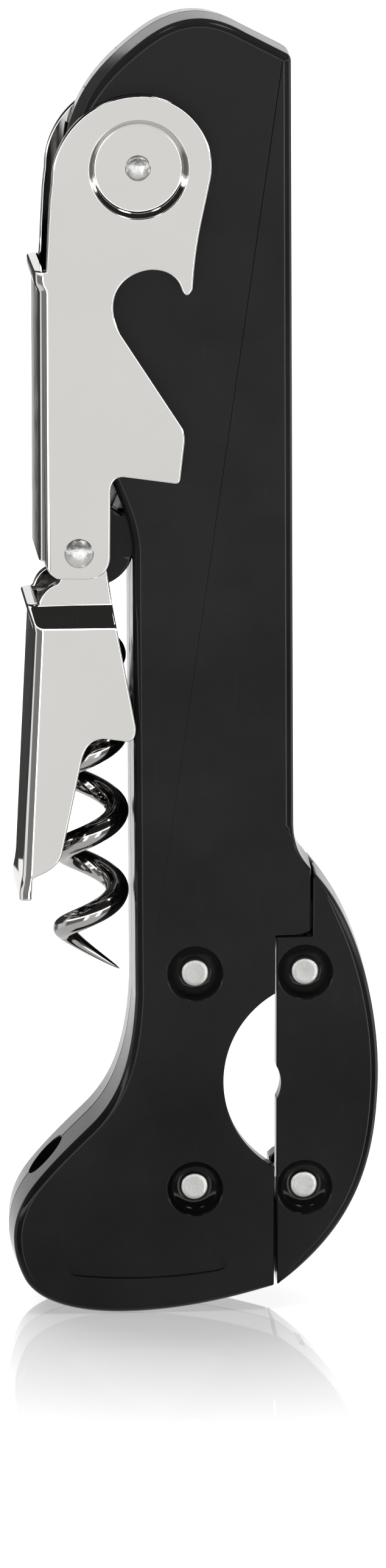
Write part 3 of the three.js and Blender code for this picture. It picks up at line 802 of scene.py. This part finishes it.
# ---------------------------------------------------------------- worm, rivets, pins and wheels
def worm():
    """Tapered helix that joins a straight shank, with an eye on the pivot pin."""
    ax = WORM_PIVOT[0]
    mean = WORM_R - WIRE_R
    right_z = 46.9      # a height where the helix is at its far right
    leave_z = 42.5      # where the last half turn leaves the helix
    tip = Vector((ax + 3.25, 0.9, 37.6))
    helix = []
    steps = round((HELIX_TOP_Z - WORM_LOW_Z) / PITCH * 56)
    for i in range(steps + 1):
        z = WORM_LOW_Z + (HELIX_TOP_Z - WORM_LOW_Z) * i / steps
        r = mean * math.sin(min(1, (HELIX_TOP_Z - z) / 4) * math.pi / 2)
        a = (z - right_z) / PITCH * 2 * math.pi
        wire = WIRE_R * min(1, 0.93 + 0.07 * (z - leave_z) / 3)
        helix.append((Vector((ax + r * math.cos(a), r * math.sin(a), z)), wire))

    # The last half turn leaves the helix at its far left and runs straight into a sharp point
    start = next(i for i, (place, _) in enumerate(helix) if place.z > leave_z)
    joint, wire = helix[start]
    bend = joint + (joint - helix[start + 1][0]).normalized() * 2.2
    path = []
    for i in range(29):
        t = 1 - i / 29
        place = joint * (1 - t) ** 2 + bend * 2 * t * (1 - t) + tip * t * t
        path.append((place, wire * (1 - t) ** 0.7 + 0.06))
    path += helix[start + 1:]
    for z in (77.2, 78.0, 78.8, 80, 82, 84, WORM_PIVOT[1]):
        path.append((Vector((ax, 0, z)), WIRE_R))

    sides = 24
    verts, faces = [], []
    across = Vector((0, 1, 0))
    for i, (p, r) in enumerate(path):
        along = (path[min(i + 1, len(path) - 1)][0] - path[max(i - 1, 0)][0]).normalized()
        u = (across - along * across.dot(along)).normalized()
        v = along.cross(u)
        across = u
        for k in range(sides):
            a = 2 * math.pi * k / sides
            verts.append(p + u * (r * math.cos(a)) + v * (r * math.sin(a)))
    for i in range(len(path) - 1):
        for k in range(sides):
            j = (k + 1) % sides
            faces.append([i * sides + k, i * sides + j, (i + 1) * sides + j, (i + 1) * sides + k])
    faces.append(list(range(sides)))
    faces.append([(len(path) - 1) * sides + k for k in reversed(range(sides))])
    body = mesh_object("worm", verts, faces)
    join(body, lathe(WORM_PIVOT, [(0, -2.6), (2.9, -2.6), (3.2, -2.3), (3.2, 2.3), (2.9, 2.6),
                                  (0, 2.6)]))
    return cut(body, rod(WORM_PIVOT, 1.3, -5, 5, 32))


def dome(centre, head_r, base, top, shaft_end, side, seed):
    """A hammered rivet: a low dome with slightly uneven facets on a plain shank."""
    steps = 9
    profile = [(0, shaft_end), (SHAFT_R, shaft_end), (SHAFT_R, base), (head_r * 0.97, base),
               (head_r, base + 0.06)]
    for i in range(1, steps):
        a = math.pi / 2 * i / steps
        profile.append((head_r * math.cos(a), base + 0.06 + (top - base - 0.06) * math.sin(a)))
    profile.append((0, top))
    body = lathe(centre, profile, 48)
    for vert in body.data.vertices:
        if vert.co.y > base + 0.05:
            dent = noise.noise(vert.co * 1.4 + Vector((seed, seed, 0)))
            vert.co.y += 0.05 * dent * min(1, (vert.co.y - base) * 3)
    return on_side(body, side)


def pivot_rivet():
    """Both heads stand on the floors of the upper lever's dimples."""
    front, rear = (dome(LEVER_PIVOT, 1.4, DIMPLE_FLOOR, RIVET_TOP["pivot"], -3, side, seed)
                   for side, seed in ((-1, 3.1), (1, 7.7)))
    return join(front, rear)


def wheel_pin(x, z, proud):
    """Flat satin pin with a broken edge and a slightly dished face."""
    face = HALF - RECESS_DEPTH + proud
    neck = face - proud - 0.9
    half = [(0, face - 0.03), (HEAD_R - 0.5, face - 0.01), (HEAD_R - 0.14, face),
            (HEAD_R - 0.04, face - 0.05), (HEAD_R, face - 0.16), (HEAD_R, neck), (SHAFT_R, neck)]
    return lathe((x, z), [(r, -y) for r, y in half] + half[::-1], 48)


def wheel(x, z):
    """Cutting disc with a sharp rim between two hubs."""
    half = [(0, 1.05), (1.75, 1.05), (1.9, 0.95), (2.0, 0.5), (2.15, 0.35), (WHEEL_R, 0.03)]
    profile = [(r, WHEEL_Y - y) for r, y in half] + [(r, WHEEL_Y + y) for r, y in half[::-1]]
    return cut(lathe((x, z), profile, 72), rod((x, z), SHAFT_R + 0.12, -1, 6, 40))


# ---------------------------------------------------------------- the object
for side, end in ((-1, "front"), (1, "rear")):
    piece(handle_shell(side), f"handle_half_{end}", "handle", [f"handle_shell_{end}"],
          PLASTIC, (HALF,))
    piece(jaw_shell(side), f"jaw_half_{end}", "jaw", [f"jaw_shell_{end}"],
          PLASTIC, (HALF,))
    rivet = dome(JOINT_PIVOT, 1.6, CHEEK_OUT, RIVET_TOP["joint"], 5.1, side, 11.3 + side)
    piece(rivet, f"joint_rivet_{end}", "upper_lever", [f"lever_joint_rivet_{end}"],
          RIVET)

piece(upper_lever(), "lever_upper", "upper_lever", ["upper_lever"], LEVER,
      (CHEEK_OUT, NECK_OUT))
piece(lower_lever(), "lever_lower", "lower_lever", ["lower_lever"], LEVER,
      (CHEEK_OUT, NECK_OUT))
piece(pivot_rivet(), "pivot_rivet", "handle", ["lever_pivot_rivet"], RIVET)
piece(worm(), "worm_helix", "worm", ["worm"], WORM)
for across, x in PIN_X.items():
    carrier = "handle" if across == "left" else "jaw"
    for level, z in PIN_Z.items():
        where = f"{level}_{across}"
        piece(wheel_pin(x, z, PIN_PROUD[level]), f"cutter_pin_{where}", carrier,
              [f"wheel_pin_{where}"], PIN)
        piece(wheel(x, z), f"cutting_disc_{where}", f"wheel_{where}",
              [f"cutter_wheel_{where}"], WHEEL)

# The CAD pieces that keep their own shape; their steel gets a dark base colour, painted shade for
# the gaps where it shows
for name, material in {
    "core_plate": SHADE_DARKENED_INNER, "lever_pivot_bush": SHADE_DARKENED_INNER, "worm_pivot_pin": SHADE_DARKENED_INNER, "worm_spring": SHADE_DARKENED_INNER,
    "jaw_arm": SHADE_DARKENED_INNER, "jaw_hinge_pin": SHADE_DARKENED_INNER, "jaw_spring": SHADE_DARKENED_INNER, "jaw_guide_tongue": PLASTIC,
}.items():
    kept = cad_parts[name]
    kept.data.materials.clear()
    kept.data.materials.append(material)


# ---------------------------------------------------------------- stage, light and camera
def stage_floor():
    """Bright floor whose faint mirror image of the object fades away with distance."""
    floor = mesh_object("floor", [(-6, -6, 0), (6, -6, 0), (6, 9, 0), (-6, 9, 0)], [[0, 1, 2, 3]])
    floor.location.z = -0.00002
    floor.visible_glossy = False
    material = bpy.data.materials.new("pale_floor")
    material.use_nodes = True
    tree = material.node_tree
    link = tree.links.new
    tree.nodes.remove(tree.nodes["Principled BSDF"])
    matt = node(tree, "ShaderNodeBsdfDiffuse", Color=(0.42, 0.42, 0.42, 1))
    glow = node(tree, "ShaderNodeEmission", Color=(1, 1, 1, 1), Strength=0.78)
    base = node(tree, "ShaderNodeAddShader")
    link(matt.outputs[0], base.inputs[0])
    link(glow.outputs[0], base.inputs[1])
    mirror = node(tree, "ShaderNodeBsdfGlossy", Color=(1, 1, 1, 1), Roughness=0.015)
    # The mirror's share falls off with the distance from the origin: 1 on the ramp is 0.1 m
    away = node(tree, "ShaderNodeVectorMath", operation="LENGTH")
    link(node(tree, "ShaderNodeTexCoord").outputs["Object"], away.inputs[0])
    reach = node(tree, "ShaderNodeMath", operation="MULTIPLY")
    reach.inputs[1].default_value = 10.0
    link(away.outputs["Value"], reach.inputs[0])
    falloff = [(0.0, grey(0.56)), (0.15, grey(0.54)), (0.9, grey(0.0))]
    share = ramp(tree, reach.outputs[0], falloff)
    both = node(tree, "ShaderNodeMixShader")
    link(share, both.inputs[0])
    link(base.outputs[0], both.inputs[1])
    link(mirror.outputs[0], both.inputs[2])
    link(both.outputs[0], tree.nodes["Material Output"].inputs["Surface"])
    floor.data.materials.append(material)
    floor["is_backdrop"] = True


def studio_flag():
    """A black card behind the object's left side, seen only in the levers' polished spines."""
    x0, x1, z0, z1 = -0.30, -0.0205, 0.036, 0.17
    card = mesh_object("flag", [(x, 0.07, z) for x, z in rectangle(x0, x1, z0, z1)], [[0, 1, 2, 3]])
    material = bpy.data.materials.new("flag")
    material.use_nodes = True
    shader = material.node_tree.nodes["Principled BSDF"]
    shader.inputs["Base Color"].default_value = (*grey(0.03), 1)
    shader.inputs["Roughness"].default_value = 0.9
    card.data.materials.append(material)
    card.visible_camera = card.visible_diffuse = card.visible_shadow = False
    card.visible_transmission = card.visible_volume_scatter = False
    card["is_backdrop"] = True


def studio_world():
    """A white tent with a dark ceiling.

    Below and in front it has the cards and strips that draw edges on the glossy parts.
    """
    world = bpy.data.worlds.new("studio")
    world.use_nodes = True
    SCENE.world = world
    tree = world.node_tree
    link = tree.links.new

    def maths(operation, a, b, c=None):
        made = node(tree, "ShaderNodeMath", operation=operation)
        for slot, value in zip(made.inputs, (a, b, c)):
            if isinstance(value, (int, float)):
                slot.default_value = value
            elif value is not None:
                link(value, slot)
        return made.outputs[0]

    def blend(factor, first, second):
        made = node(tree, "ShaderNodeMix", data_type="RGBA")
        link(factor, made.inputs["Factor"])
        link(first, made.inputs[6])
        link(second, made.inputs[7])
        return made.outputs[2]

    split = node(tree, "ShaderNodeSeparateXYZ")
    link(node(tree, "ShaderNodeTexCoord").outputs["Generated"], split.inputs[0])
    east, north, up = split.outputs
    # Bearing from 0 to 1: 0.5 is straight in front, 0.75 to the right, 0.25 to the left
    turn = maths("ARCTAN2", east, maths("MULTIPLY", north, -1))
    bearing = maths("MULTIPLY_ADD", turn, 1 / (2 * math.pi), 0.5)
    rings = [
        (-180, 1.0), (-150, 1.0), (-146, 0.25), (-126, 0.25), (-122, 1.1), (-88, 1.1),
        (-84, 0.26), (-24, 0.26), (-21, 4.0), (-13, 4.0), (-10, 1.0), (14, 1.0),
        (17, 6.0), (25, 6.0), (28, 0.26), (80, 0.26), (84, 2.4), (118, 2.4),
        (122, 0.25), (150, 0.25), (154, 1.0), (180, 1.0),
    ]
    below = ramp(tree, bearing, [(0.5 + degrees / 360, grey(value)) for degrees, value in rings])
    # Height from 0, straight down, to 1, straight up: the horizon is at 0.5
    height = maths("MULTIPLY_ADD", up, 0.5, 0.5)
    plain = node(tree, "ShaderNodeRGB")
    plain.outputs[0].default_value = (*grey(0.9), 1)
    near = ramp(tree, height, [(0.26, grey(0.0)), (0.32, grey(1.0))])
    below = blend(near, plain.outputs[0], below)
    front = ramp(tree, height, [(0.5, grey(1.0)), (0.53, grey(1.0)), (0.54, grey(5.0)),
                                (0.59, grey(5.0)), (0.605, grey(0.03)), (1.0, grey(0.03))])
    back = ramp(tree, height, [(0.5, grey(1.0)), (0.67, grey(1.0)), (0.73, grey(0.03)),
                               (1.0, grey(0.03))])
    behind = maths("MULTIPLY_ADD", north, 4.0, 0.5)
    above = blend(ramp(tree, behind, [(0.0, grey(0.0)), (1.0, grey(1.0))]), front, back)
    colour = blend(ramp(tree, height, [(0.495, grey(0.0)), (0.505, grey(1.0))]), below, above)
    link(colour, tree.nodes["Background"].inputs["Color"])


def area_light(name, location, target, size, power, glossy=True):
    data = bpy.data.lights.new(name, "AREA")
    data.size = size
    data.energy = power
    lamp = bpy.data.objects.new(name, data)
    lamp.location = location
    lamp.rotation_euler = (Vector(target) - Vector(location)).to_track_quat("-Z", "Y").to_euler()
    lamp.visible_glossy = glossy
    lamp.visible_camera = False
    SCENE.collection.objects.link(lamp)


def camera():
    data = bpy.data.cameras.new("camera")
    data.lens = 184.7
    data.clip_start = 0.01
    data.clip_end = 30
    view = bpy.data.objects.new("camera", data)
    target = Vector((-0.0004, -0.0064, 0.0598))
    azimuth, elevation, distance = math.radians(-4.2), math.radians(11.4), 0.881
    view.location = target + distance * Vector((
        math.sin(azimuth) * math.cos(elevation), -math.cos(azimuth) * math.cos(elevation),
        math.sin(elevation)))
    view.rotation_euler = (target - view.location).to_track_quat("-Z", "Y").to_euler()
    SCENE.collection.objects.link(view)
    SCENE.camera = view


stage_floor()
studio_world()
studio_flag()
area_light("overhead", (0, 0.8, 2.2), (0, 0.8, 0), 3.5, 118, glossy=False)
area_light("spark_right", (0.42, -0.30, 1.1), (0, 0, 0.08), 0.28, 2.2)
area_light("spark_left", (-0.42, -0.30, 1.1), (0, 0, 0.08), 0.2, 0.8)
camera()
SCENE.view_settings.view_transform = "Standard"

[[list(corner) for corner in box] for box in (cad_box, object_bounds())]
